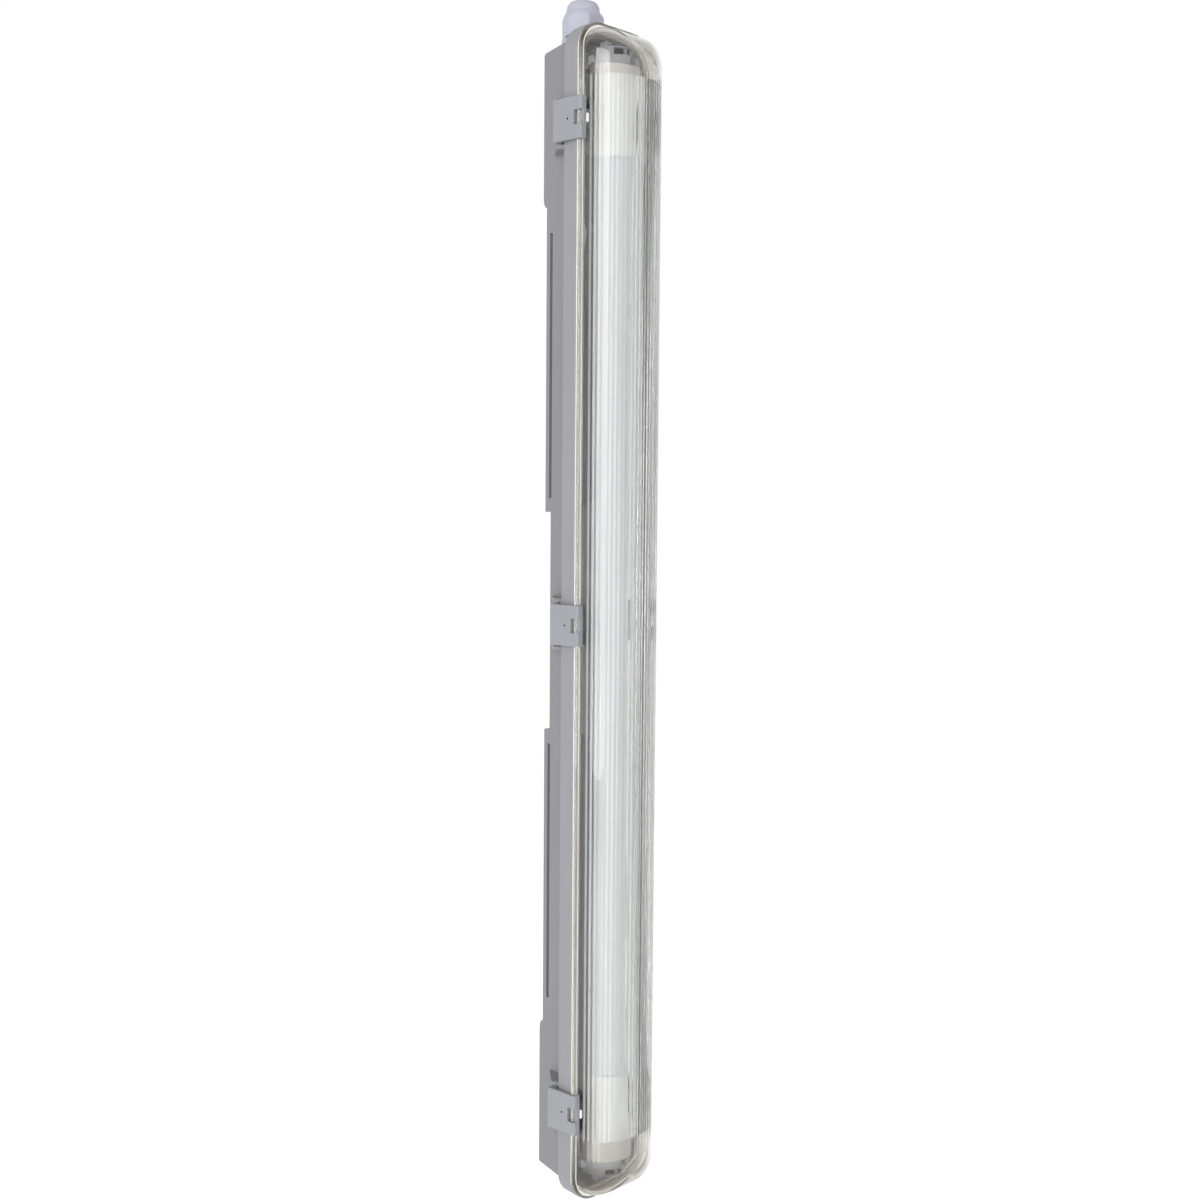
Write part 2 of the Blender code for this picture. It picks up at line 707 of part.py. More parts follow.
def contact_pin(side, sign, place, along, finish):
    span = sorted((along * (tube_half - CAP_WALL - PIN_ROOT), along * (tube_half + PIN_LENGTH)))
    centre = (sign * PIN_SPACING / 2, -tube_axis_depth)
    return cylinder(f"contact_pin_{side}_{place}", PIN_RADIUS, *span, centre, finish, place=(*tube_axis, 0.0))


def led_board(finish):
    half = tube_end - SPIGOT_LENGTH - GAP
    back = -tube_axis_depth + LED_BOARD_OFFSET
    low = (-LED_BOARD_HALF_WIDTH, back - LED_BOARD_THICKNESS, -half)
    return box("led_board", low, (LED_BOARD_HALF_WIDTH, back, half), finish, (*tube_axis, 0.0))


def driver_board(finish):
    """The small power board in the top cap, with its transformer and its capacitor."""
    back = -tube_axis_depth + DRIVER_OFFSET
    top = tube_half - CAP_WALL - PIN_ROOT - GAP
    bottom = top - DRIVER_LENGTH
    front = back - LED_BOARD_THICKNESS
    low, high = (-DRIVER_HALF_WIDTH, front, bottom), (DRIVER_HALF_WIDTH, back, top)
    made = box("driver_board", low, high, finish, (*tube_axis, 0.0))
    half = DRIVER_PART_LENGTH / 2
    middle = (top + bottom) / 2
    low = (-half, front - DRIVER_PART_HEIGHT, middle)
    join(made, box("driver_transformer", low, (half, back - LED_BOARD_THICKNESS / 2, middle + DRIVER_PART_LENGTH)))
    centre = (0.0, middle - half)
    span = (front - DRIVER_PART_HEIGHT, back - LED_BOARD_THICKNESS / 2)
    join(made, cylinder("driver_capacitor", half * 2 / 3, *span, centre, axis="Y"))
    return made


def lampholder(place, along, finish):
    """A round-fronted plate with ears in the housing's ribs, a case for the rotor and a side block."""
    face, plate = along * holder_face, along * (holder_face + HOLDER_PLATE)
    case = along * holder_case_end
    made = cylinder(f"lampholder_{place}", HOLDER_RADIUS, *sorted((face, plate)), tube_axis, finish, ROUND_STEPS)
    levels = sorted((face, plate))
    ear = channel_half_width(holder_ear_back) - WALL - HOLDER_EAR_GAP
    low, high = (-ear, -holder_ear_front, levels[0]), (ear, -holder_ear_back, levels[1])
    join(made, box(f"holder_ears_{place}", low, high))
    behind = sorted((along * (holder_face + HOLDER_PLATE / 2), case))
    join(made, cylinder(f"holder_case_{place}", HOLDER_CASE_RADIUS, *behind, tube_axis, steps=ROUND_STEPS))
    lower = (-HOLDER_CASE_RADIUS, -tube_axis_depth, behind[0])
    upper = (HOLDER_CASE_RADIUS, -holder_ear_back - WALL, behind[1])
    join(made, box(f"holder_case_foot_{place}", lower, upper))
    block = sorted((along * (holder_face + HOLDER_PLATE - WALL / 2), along * (holder_case_end + HOLDER_BLOCK)))
    block_front = -tube_axis_depth - HOLDER_BLOCK_FORWARD
    block_low = (-HOLDER_BLOCK_OUTER, block_front, block[0])
    block_high = (-HOLDER_BLOCK_OUTER + HOLDER_BLOCK_WIDTH, block_front + HOLDER_BLOCK_DEPTH, block[1])
    join(made, box(f"holder_block_{place}", block_low, block_high))
    cavity = sorted((face - along * CUT, along * (rotor_end + GAP)))
    cut(made, cylinder(f"holder_cavity_{place}", cavity_radius, *cavity, tube_axis, steps=ROUND_STEPS))
    slot_low = (-ENTRY_SLOT_HALF, -tube_axis_depth - HOLDER_RADIUS - CUT, cavity[0])
    cut(made, box(f"holder_slot_{place}", slot_low, (ENTRY_SLOT_HALF, -tube_axis_depth, cavity[1])))
    window = sorted((along * (holder_face + HOLDER_PLATE + GAP), along * rotor_end))
    window_low = (-HOLDER_WINDOW_OUTER, -tube_axis_depth - HOLDER_RADIUS, window[0])
    window_high = (-HOLDER_WINDOW_INNER, -tube_axis_depth - HOLDER_WINDOW_BACK, window[1])
    cut(made, box(f"holder_window_{place}", window_low, window_high))
    contact_levels = contact_span(along)
    for side, sign in SIDES.items():
        across = sorted((sign * (contact_inner - GAP), sign * (contact_outer + GAP)))
        low = (across[0], -tube_axis_depth - CONTACT_HEIGHT - GAP, contact_levels[0] - GAP)
        high = (across[1], -tube_axis_depth + CONTACT_HEIGHT + GAP, contact_levels[1] + GAP)
        cut(made, box(f"contact_pocket_{side}_{place}", low, high))
    return made


def contact_span(along):
    middle = (holder_face + rotor_end) / 2
    return sorted((along * (middle - CONTACT_HALF_LENGTH), along * (middle + CONTACT_HALF_LENGTH)))


def holder_contact(side, sign, place, along, finish):
    levels = contact_span(along)
    across = sorted((sign * contact_inner, sign * contact_outer))
    low = (across[0], -tube_axis_depth - CONTACT_HEIGHT, levels[0])
    high = (across[1], -tube_axis_depth + CONTACT_HEIGHT, levels[1])
    return box(f"holder_contact_{side}_{place}", low, high, finish)


def rotor(place, along, finish):
    """The turning disc, slotted across for the tube's two pins."""
    face = along * (holder_face + GAP)
    span = sorted((face, along * rotor_end))
    origin = (*tube_axis, 0.0)
    made = cylinder(f"rotor_{place}", ROTOR_RADIUS, *span, tube_axis, finish, ROUND_STEPS, place=origin)
    slot = sorted((face - along * CUT, along * (rotor_end - ROTOR_FLOOR)))
    low = (-ROTOR_RADIUS - CUT, -tube_axis_depth - ROTOR_SLOT_HALF, slot[0])
    cut(made, box(f"rotor_slot_{place}", low, (ROTOR_RADIUS + CUT, -tube_axis_depth + ROTOR_SLOT_HALF, slot[1])))
    return made


def terminal_block(finish):
    half = pocket_half_width - GAP
    low = (-half, -TERMINAL_FRONT_DEPTH, terminal_top - TERMINAL_LENGTH)
    made = box("terminal_block", low, (half, -POCKET_WALL - GAP, terminal_top), finish)
    for side, sign in SIDES.items():
        centre = (sign * TERMINAL_SCREW_SPACING / 2, terminal_top - TERMINAL_LENGTH / 2)
        span = (-TERMINAL_FRONT_DEPTH - CUT, -TERMINAL_FRONT_DEPTH + TERMINAL_SCREW_DEPTH)
        cut(made, cylinder(f"terminal_hole_{side}", TERMINAL_SCREW_RADIUS + GAP, *span, centre, axis="Y"))
    return made


def terminal_screw(side, sign, finish):
    centre = (sign * TERMINAL_SCREW_SPACING / 2, terminal_top - TERMINAL_LENGTH / 2)
    front = -TERMINAL_FRONT_DEPTH + WIRE_RADIUS
    span = (front, -TERMINAL_FRONT_DEPTH + TERMINAL_SCREW_DEPTH - GAP)
    made = cylinder(f"terminal_screw_{side}", TERMINAL_SCREW_RADIUS, *span, centre, finish, axis="Y")
    slot = GAP + GAP / 2
    low = (centre[0] - TERMINAL_SCREW_RADIUS - CUT, front - CUT, centre[1] - slot)
    high = (centre[0] + TERMINAL_SCREW_RADIUS + CUT, front + WIRE_RADIUS, centre[1] + slot)
    cut(made, box(f"terminal_screw_slot_{side}", low, high))
    return made


def smooth_route(places):
    """A Catmull-Rom curve through the places, with points about one wire step apart."""
    knots = [Vector(p) for p in places]
    knots = [knots[0] * 2 - knots[1], *knots, knots[-1] * 2 - knots[-2]]
    points = []
    for a, b, c, d in zip(knots, knots[1:], knots[2:], knots[3:]):
        steps = max(2, round((c - b).length / WIRE_STEP / 2))
        for step in range(steps):
            t = step / steps
            points.append(
                ((b * 2) + (c - a) * t + (a * 2 - b * 5 + c * 4 - d) * t**2 + (b * 3 - a - c * 3 + d) * t**3) / 2
            )
    return [*points, knots[-2]]


def wire(name, places, finish):
    data = bpy.data.curves.new(name, "CURVE")
    data.dimensions = "3D"
    data.bevel_depth = WIRE_RADIUS
    data.bevel_resolution = 1
    data.use_fill_caps = True
    points = smooth_route(places)
    spline = data.splines.new("POLY")
    spline.points.add(len(points) - 1)
    for point, place in zip(spline.points, points):
        point.co = (*place, 1.0)
    data.materials.append(finish)
    made = bpy.data.objects.new(name, data)
    parts.objects.link(made)
    return made


def live_wire(finish):
    """From the terminal block's upper end to the top lampholder's ear."""
    x = TERMINAL_SCREW_SPACING / 2
    start, end = terminal_top + GAP, holder_face - GAP
    depth = (POCKET_WALL + TERMINAL_FRONT_DEPTH) / 2
    middle = ((x + WIRE_END_OFFSET) / 2, -(depth + wire_end_depth) / 2, (start + end) / 2)
    places = [
        (x, -depth, start),
        (x, -depth, start + WIRE_LEAD),
        middle,
        (WIRE_END_OFFSET, -wire_end_depth, end - WIRE_LEAD),
        (WIRE_END_OFFSET, -wire_end_depth, end),
    ]
    return wire("live_wire", places, finish)


def neutral_wire(finish):
    """From the terminal block's lower end down the left wall to the bottom lampholder, with one slack bend."""
    x = -TERMINAL_SCREW_SPACING / 2
    start, end = terminal_top - TERMINAL_LENGTH - GAP, -holder_face + GAP
    depth = (POCKET_WALL + TERMINAL_FRONT_DEPTH) / 2
    places = [
        (x, -depth, start),
        (x, -depth, start - WIRE_LEAD),
        *((across, -deep, tube_half * share) for (across, deep), share in zip(SLACK_ROUTE, SLACK_ROUTE_SHARES)),
        (-WIRE_END_OFFSET, -wire_end_depth, end + WIRE_LEAD),
        (-WIRE_END_OFFSET, -wire_end_depth, end),
    ]
    return wire("neutral_wire", places, finish)


def gland_body(finish):
    """Turned: a threaded stub through the wall, a flange, and the socket that takes the rubber seal."""
    stub, bore, flange = GLAND_THREAD_RADIUS, GLAND_BORE_RADIUS, GLAND_FLANGE_RADIUS
    top = gland_flange_top + GLAND_BODY_ABOVE
    seat = gland_flange_top + GLAND_SEAL_SEAT
    socket = bore + GAP + GAP
    profile = [
        (stub, gland_stub_end),
        (bore, gland_stub_end),
        (bore - GLAND_SEAL_WALL / 2, seat),
        (socket, seat),
        (socket, top),
        (stub, top),
        (stub, gland_flange_top),
        (flange, gland_flange_top),
        (flange, gland_flange_low),
        (stub, gland_flange_low),
    ]
    return turned("gland_body", profile, gland_axis, finish)


def washer(name, inner, outer, low, high, finish):
    return turned(name, [(outer, low), (outer, high), (inner, high), (inner, low)], gland_axis, finish)


def gland_seal(finish):
    seat = gland_flange_top + GLAND_SEAL_SEAT + GAP
    top = nut_low + GLAND_NUT_HEX - GAP
    outer = GLAND_BORE_RADIUS + GAP
    return washer("gland_seal", outer - GLAND_SEAL_WALL, outer, seat, top, finish)


def hexagon(name, flats, low, high):
    """A hexagonal prism round the gland's axis, with corners to the left and right."""
    corner = flats / math.sqrt(3)
    turn = [(corner * math.cos(math.pi / 3 * k), corner * math.sin(math.pi / 3 * k)) for k in range(6)]
    points = [(gland_axis[0] + x, gland_axis[1] + y) for x, y in turn]
    return prism(name, points, low, high, "Z")


def gland_nut(finish):
    """A dome nut: a turned bell, with a bore for the cable, cut to a hexagon round its lower part."""
    corner = GLAND_NUT_FLATS / math.sqrt(3)
    hex_top = nut_low + GLAND_NUT_HEX
    dome_low = hex_top + GLAND_NUT_CHAMFER
    socket = GLAND_THREAD_RADIUS + GAP
    bore, dome = GLAND_NUT_BORE_RADIUS, GLAND_NUT_DOME_RADIUS
    shoulder = [
        (bore + (dome - bore) * math.cos(angle), dome_low + GLAND_NUT_DOME * math.sin(angle))
        for angle in (math.pi / 2 * step / DOME_STEPS for step in range(DOME_STEPS + 1))
    ]
    profile = [
        (corner, nut_low),
        (corner, hex_top),
        *shoulder,
        (bore, nut_low + GLAND_NUT_HEX),
        (socket, nut_low + GLAND_NUT_HEX),
        (socket, nut_low),
    ]
    made = turned("gland_nut", profile, gland_axis, finish)
    top = dome_low + GLAND_NUT_DOME + CUT
    boolean(made, hexagon("gland_nut_hexagon", GLAND_NUT_FLATS, nut_low - CUT, top), "INTERSECT")
    return made


def gland_locknut(finish):
    low, high = pocket_end - GAP - GLAND_LOCKNUT, pocket_end - GAP
    outer = gland_locknut_flats / math.sqrt(3)
    made = washer("gland_locknut", GLAND_THREAD_RADIUS + GAP, outer, low, high, finish)
    boolean(made, hexagon("gland_locknut_hexagon", gland_locknut_flats, low - CUT, high + CUT), "INTERSECT")
    return made


def build():
    grey = material("grey_polycarbonate", (0.38, 0.38, 0.39), 0.5)
    clip_grey = material("clip_grey_plastic", (0.40, 0.44, 0.45), 0.45)
    clear = material("clear_polycarbonate", (0.90, 0.91, 0.90), 0.1, alpha=0.35)
    foam = material("cream_gasket_foam", (0.72, 0.70, 0.62), 0.8)
    lilac = material("gland_polyamide", (0.55, 0.56, 0.62), 0.4)
    rubber = material("black_rubber", (0.03, 0.03, 0.03), 0.8)
    opal = material("opal_tube_plastic", (0.88, 0.89, 0.91), 0.4)
    white = material("white_cap_plastic", (0.92, 0.92, 0.92), 0.35)
    steel = material("nickel_plated_pin", (0.75, 0.75, 0.74), 0.25, 1.0)
    brass = material("phosphor_bronze", (0.80, 0.58, 0.32), 0.35, 1.0)
    board = material("circuit_board", (0.85, 0.86, 0.84), 0.5)
    cable = material("wire_insulation", (0.70, 0.70, 0.70), 0.5)
    graphite = material("graphite_plastic", (0.05, 0.05, 0.055), 0.5)
    housing(grey)
    gasket(foam)
    diffuser(clear)
    for side, sign in SIDES.items():
        for place, along in PLACES.items():
            clip(side, sign, place, along, clip_grey)
        terminal_screw(side, sign, steel)
    lamp_tube(opal)
    for place, along in (("top", 1), ("bottom", -1)):
        tube_cap(place, along, white)
        lampholder(place, along, lilac)
        rotor(place, along, graphite)
        for side, sign in SIDES.items():
            contact_pin(side, sign, place, along, steel)
            holder_contact(side, sign, place, along, brass)
    led_board(board)
    driver_board(board)
    terminal_block(white)
    live_wire(cable)
    neutral_wire(cable)
    gland_body(lilac)
    washer_levels = (gland_boss_top + GAP, gland_boss_top + GAP + GLAND_WASHER)
    washer("gland_washer", GLAND_THREAD_RADIUS + GAP, GLAND_FLANGE_RADIUS - GAP, *washer_levels, rubber)
    gland_seal(rubber)
    gland_nut(lilac)
    gland_locknut(lilac)


clear_scene()
parts = collection(OBJECT_NAME)
cutters = collection("cutters")
build()
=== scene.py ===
"""Looks for the slim vapor tight batten: grey tray, clear ribbed cover, clips, gland, tube.

Lengths are in metres, in the frame of the solids: +Z to the cable gland, -Y to the light.
"""

import math

import bmesh
import bpy
import numpy as np
from mathutils import Matrix, Vector


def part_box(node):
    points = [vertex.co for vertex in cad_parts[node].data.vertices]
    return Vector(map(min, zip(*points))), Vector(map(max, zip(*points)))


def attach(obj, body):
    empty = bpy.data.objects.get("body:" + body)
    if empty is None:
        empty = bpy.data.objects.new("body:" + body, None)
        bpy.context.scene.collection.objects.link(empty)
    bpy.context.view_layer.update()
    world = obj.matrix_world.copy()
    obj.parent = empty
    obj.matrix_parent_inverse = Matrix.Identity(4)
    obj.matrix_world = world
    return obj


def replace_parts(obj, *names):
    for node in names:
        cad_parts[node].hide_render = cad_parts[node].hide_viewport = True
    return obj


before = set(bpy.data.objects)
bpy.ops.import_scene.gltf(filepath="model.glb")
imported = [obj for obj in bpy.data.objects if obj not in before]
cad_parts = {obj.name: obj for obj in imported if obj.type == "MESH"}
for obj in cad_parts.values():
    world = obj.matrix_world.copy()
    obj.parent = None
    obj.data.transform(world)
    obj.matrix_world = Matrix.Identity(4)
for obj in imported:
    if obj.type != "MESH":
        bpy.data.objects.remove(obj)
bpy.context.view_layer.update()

# The cover, whose outer reach comes from its solid
cover_low, cover_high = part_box("diffuser")
RIM_BACK = -cover_high.y
RIM_THICKNESS = 0.0022
RIM_FRONT = RIM_BACK + RIM_THICKNESS
RIM_HALF_WIDTH = cover_high.x
RIM_HALF_LENGTH = cover_high.z
RIM_CORNER = 0.0154
RIM_EDGE = 0.0003
# The painted highlight along the rim's outer edge: its width, and how far along the sides it
# runs
RIM_HIGHLIGHT_WIDTH = 0.0005
RIM_HIGHLIGHT_END = 0.3030
RIM_INNER_EDGE = 0.0007
RIM_SIDE_STEP = 0.0022
RIM_END_STEP = 0.0033
RIM_SLACK = 0.00003
COVER_HALF_WIDTH = RIM_HALF_WIDTH - RIM_SIDE_STEP
COVER_HALF_LENGTH = RIM_HALF_LENGTH - RIM_END_STEP
COVER_CORNER = 0.0120
COVER_DEPTH = -cover_low.y
COVER_WALL = 0.0020
COVER_END_ROUND = 0.0203
COVER_POWER = 2.15
COVER_SHARP_DEGREES = 40

# The clear parts are painted darker between these heights, up and down, as painted shade
END_SHADE_FROM = 0.2920
END_SHADE_TO = 0.3080

# The tray's apron begins at this depth, and its back channel is at least this wide inside
APRON_BACK = 0.0270
APRON_SLACK = 0.0005
CHANNEL_INSIDE = 0.0147
CHANNEL_FLARE = 0.0038
CHANNEL_FLOOR = 0.0103
CHANNEL_END = 0.3160

# The ribs inside the cover
RIB_PITCH = 0.0025
RIB_HEIGHT = 0.00030
RIB_START = 0.0032
RIB_TOP = 0.2873
RIB_BOTTOM = -0.2797
RIB_END = 0.0004

# The white blocks on the cover's rim
LUG_SIZE = (0.0019, 0.0036, 0.0047)
LUG_INSET = 0.0026
LUG_RISE = 0.0017
LUG_HEIGHT = 0.265
LUG_EDGE = 0.0005

# The seal, squeezed under the rim
SEAL_SPREAD = 0.0014
SEAL_INSET = 0.0017
SEAL_STEM = 0.0019
SEAL_STEM_INSET = 0.0033
SEAL_LIFT = 0.00024
SEAL_DROP = 0.0030

# The small hole in each clip, whose bore is painted black as painted shade
CLIP_HOLE = 0.03275
CLIP_HOLE_RADIUS = 0.0008

# The gland's dome nut
NUT_BULGE = 1.03
NUT_CHAMFER = 0.0036
NUT_DOME = 0.0054
NUT_DOME_RADIUS = 0.0091
NUT_BORE = 0.0052
NUT_SOCKET = 0.0094
NUT_EDGE = 0.0006
NUT_CRISPNESS = 36
NUT_SHARP_DEGREES = 50

# Rounded edges of the moulded pieces
TRAY_EDGE = 0.0004
HOLDER_EDGE = 0.0004
CLIP_EDGE = 0.0003
EDGE_SEGMENTS = 3
EDGE_DEGREES = 30
FLAT_DEGREES = 1.0

# Points along each curve, and how near two points are when they are joined
ARC_POINTS = 9
INSIDE_POINTS = 480
OUTSIDE_POINTS = 60
SEAL_POINTS = 17
NUT_TURN_POINTS = 144
NUT_DOME_POINTS = 16
NUT_CHAMFER_POINTS = 6
SKIN_JOIN = 0.00001
SOLID_JOIN = 0.000002

# Grain sizes in the materials
FLOW_STREAK = 0.030
FLOW_STRETCH = (1.0, 1.0, 0.25)
SPARK_GRAIN = 0.0009
SATIN_GRAIN = 0.0012
HAZE = 0.012
HIGHLIGHT_GRAIN = 0.002
FOAM_CELL = 0.0006
RUBBER_BLOOM = 0.004
OPAL_CLOUD = 0.020
OPAL_STRETCH = (1.0, 1.0, 0.15)
SINK_MARK = 0.008
DRAWN_LINE = 0.0008
DRAWN_STRETCH = (1.0, 1.0, 0.1)
BOARD_WEAVE = 0.0005236
BOARD_PATCH = 0.006

# The studio: the backdrop's direction and edge, the brightness of the rest of the room, the
# floor, and the light
WHITE = (1.0, 1.0, 1.0, 1.0)
BACKDROP_TOWARD = (0.731, 0.682, 0.0)
BACKDROP_EDGE = {"From Min": 0.55, "From Max": 0.84}
ROOM = 0.78
FLOOR_REACH = 12.0
FLOOR_LEVEL = -0.60
FLOOR_GLOW = 0.21
SOFT_BOX_PLACE = (-1.7, -0.85, 0.3)
SOFT_BOX_SIZE = 1.5
SOFT_BOX_WATTS = 24.0

# The camera, as fitted to the photograph
CAMERA_PLACE = (-0.62513, -0.61359, 0.06785)
CAMERA_AZIMUTH = math.radians(46.956)
CAMERA_ELEVATION = math.radians(-3.728)
CAMERA_ROLL = math.radians(0.432)
FOCAL_PIXELS = 1566.6
FRAME_PIXELS = 1200
SENSOR_MM = 36.0

# The Mix node's two colour inputs and its colour output
FIRST, SECOND, MIXED = 6, 7, 2


# Colours and nodes


def linear(hex_colour):
    """An sRGB hex colour as linear RGBA: c / 12.92 up to 0.04045, and above it
    ((c + 0.055) / 1.055)^2.4."""
    srgb = np.array([int(hex_colour[i : i + 2], 16) for i in (1, 3, 5)]) / 255
    straight = np.where(srgb <= 0.04045, srgb / 12.92, ((srgb + 0.055) / 1.055) ** 2.4)
    return (*straight.tolist(), 1.0)


def join(tree, node, links):
    """Links the given outputs to the node's inputs."""
    for name, source in links.items():
        tree.links.new(source, node.inputs[name])


def add(tree, kind, links=None, values=None, **settings):
    """Adds one node with its own settings, its inputs' values, and links into its inputs."""
    made = tree.nodes.new(kind)
    for name, value in settings.items():
        setattr(made, name, value)
    for name, value in (values or {}).items():
        made.inputs[name].default_value = value
    join(tree, made, links or {})
    return made


def begin(name, values):
    """A new material, its node tree, and its Principled shader with the given values."""
    made = bpy.data.materials.new(name)
    made.use_nodes = True
    shader = made.node_tree.nodes["Principled BSDF"]
    for socket, value in values.items():
        shader.inputs[socket].default_value = value
    return made, made.node_tree, shader


def colours(first, second):
    """Two hex colours as the values of a Mix node."""
    return {FIRST: linear(first), SECOND: linear(second)}


# Materials


def moulded_plastic(name, dark, light, rough, grain):
    """Injection moulded in a spark-eroded tool: a fine even grain over faint, long flow
    streaks. The real grain of 0.05 mm is too fine to show, so it is drawn about a
    millimetre wide."""
    made, tree, shader = begin(name, {"IOR": 1.50, "Specular IOR Level": 0.35})
    place = add(tree, "ShaderNodeTexCoord").outputs["Object"]
    stretched = add(tree, "ShaderNodeMapping", {"Vector": place}, {"Scale": FLOW_STRETCH})
    streaks = {"Scale": 1 / FLOW_STREAK, "Detail": 3.0, "Roughness": 0.55}
    flow = add(tree, "ShaderNodeTexNoise", {"Vector": stretched.outputs["Vector"]}, streaks)
    factor = {"Factor": flow.outputs["Fac"]}
    colour = add(tree, "ShaderNodeMix", factor, colours(dark, light), data_type="RGBA")
    sparks = {"Scale": 1 / grain, "Detail": 3.0, "Roughness": 0.6}
    fine = add(tree, "ShaderNodeTexNoise", {"Vector": place}, sparks).outputs["Fac"]
    spread = {"To Min": rough - 0.06, "To Max": rough + 0.08}
    gloss = add(tree, "ShaderNodeMapRange", {"Value": fine}, spread)
    raised = {"Strength": 0.5, "Distance": 0.00006}
    relief = add(tree, "ShaderNodeBump", {"Height": fine}, raised)
    join(tree, shader, {
        "Base Color": colour.outputs[MIXED],
        "Roughness": gloss.outputs["Result"],
        "Normal": relief.outputs["Normal"],
    })
    return made


def clear_polycarbonate(name, side, rough, show_through, ends=None):
    """Clear moulded polycarbonate, IOR 1.58, with a share of its light passing straight
    through, as a wall this thin bends little. Towards its two ends, top and bottom, its
    colour is painted darker with height, as painted shade."""
    values = {"Transmission Weight": 1.0, "IOR": 1.58, "Alpha": 1.0 - show_through}
    made, tree, shader = begin(name, {**values, "Base Color": linear(side)})
    place = add(tree, "ShaderNodeTexCoord").outputs["Object"]
    haze = add(tree, "ShaderNodeTexNoise", {"Vector": place}, {"Scale": 1 / HAZE})
    spread = {"To Min": rough, "To Max": rough + 0.01}
    gloss = add(tree, "ShaderNodeMapRange", {"Value": haze.outputs["Fac"]}, spread)
    join(tree, shader, {"Roughness": gloss.outputs["Result"]})
    # Painted shade: the colour darkens towards the two ends
    if ends:
        top, bottom = ends
        height = {"Value": add(tree, "ShaderNodeSeparateXYZ", {"Vector": place}).outputs["Z"]}
        up = {"From Min": END_SHADE_FROM, "From Max": END_SHADE_TO}
        down = {"From Min": -END_SHADE_FROM, "From Max": -END_SHADE_TO}
        upward = {"Factor": add(tree, "ShaderNodeMapRange", height, up).outputs["Result"]}
        downward = {"Factor": add(tree, "ShaderNodeMapRange", height, down).outputs["Result"]}
        upper = add(tree, "ShaderNodeMix", upward, colours(side, top), data_type="RGBA")
        downward[FIRST] = upper.outputs[MIXED]
        lowest = {SECOND: linear(bottom)}
        both = add(tree, "ShaderNodeMix", downward, lowest, data_type="RGBA")
        join(tree, shader, {"Base Color": both.outputs[MIXED]})
    return made


def painted_highlight_edge():
    """The rim's outer edge and inner corner: a painted highlight, near white, with a faint
    noise in it drawn 2 mm wide."""
    made, tree, shader = begin("painted_highlight_rim_edge", {
        "Roughness": 0.5,
        "Subsurface Weight": 0.3,
        "Subsurface Radius": (0.001, 0.001, 0.001),
        "Subsurface Scale": 1.0,
    })
    place = add(tree, "ShaderNodeTexCoord").outputs["Object"]
    highlight_noise = {"Scale": 1 / HIGHLIGHT_GRAIN, "Detail": 3.0}
    grain = add(tree, "ShaderNodeTexNoise", {"Vector": place}, highlight_noise)
    factor, pair = {"Factor": grain.outputs["Fac"]}, colours("#ECEBE4", "#F6F5F0")
    colour = add(tree, "ShaderNodeMix", factor, pair, data_type="RGBA")
    join(tree, shader, {"Base Color": colour.outputs[MIXED]})
    return made


def cream_foam():
    """Foamed-in-place polyurethane seal: matt and cream. Its closed cells of a third of a
    millimetre are drawn about twice as wide, so that they show."""
    made, tree, shader = begin("foamed_polyurethane_seal", {"Roughness": 0.85})
    place = add(tree, "ShaderNodeTexCoord").outputs["Object"]
    foam_cells = {"Scale": 1 / FOAM_CELL, "Detail": 3.0, "Roughness": 0.7}
    cells = add(tree, "ShaderNodeTexNoise", {"Vector": place}, foam_cells).outputs["Fac"]
    pair = colours("#D3D2CA", "#E1E0DA")
    colour = add(tree, "ShaderNodeMix", {"Factor": cells}, pair, data_type="RGBA")
    raised = {"Strength": 0.6, "Distance": 0.0001}
    relief = add(tree, "ShaderNodeBump", {"Height": cells}, raised)
    join(tree, shader, {
        "Base Color": colour.outputs[MIXED],
        "Normal": relief.outputs["Normal"],
    })
    return made


def black_rubber():
    """Moulded nitrile rubber: near black, dull, with a bloom that lightens it in patches."""
    made, tree, shader = begin("nitrile_rubber", {})
    place = add(tree, "ShaderNodeTexCoord").outputs["Object"]
    blooms = {"Scale": 1 / RUBBER_BLOOM, "Detail": 4.0, "Roughness": 0.6}
    bloom = add(tree, "ShaderNodeTexNoise", {"Vector": place}, blooms).outputs["Fac"]
    pair = colours("#1C1C1E", "#2E2E30")
    colour = add(tree, "ShaderNodeMix", {"Factor": bloom}, pair, data_type="RGBA")
    dull = add(tree, "ShaderNodeMapRange", {"Value": bloom}, {"To Min": 0.55, "To Max": 0.75})
    join(tree, shader, {
        "Base Color": colour.outputs[MIXED],
        "Roughness": dull.outputs["Result"],
    })
    return made


def opal_tube():
    """Opal extruded tube: light scatters in its wall, so it looks evenly milky and slightly
    blue-grey, with a satin skin."""
    made, tree, shader = begin("opal_extruded_tube", {
        "Roughness": 0.32,
        "Subsurface Weight": 0.3,
        "Subsurface Radius": (0.002, 0.002, 0.002),
        "Subsurface Scale": 1.0,
    })
    place = add(tree, "ShaderNodeTexCoord").outputs["Object"]
    stretched = add(tree, "ShaderNodeMapping", {"Vector": place}, {"Scale": OPAL_STRETCH})
    along = {"Vector": stretched.outputs["Vector"]}
    cloud = add(tree, "ShaderNodeTexNoise", along, {"Scale": 1 / OPAL_CLOUD})
    factor, pair = {"Factor": cloud.outputs["Fac"]}, colours("#E2E5E9", "#ECEEF0")
    colour = add(tree, "ShaderNodeMix", factor, pair, data_type="RGBA")
    join(tree, shader, {"Base Color": colour.outputs[MIXED]})
    return made


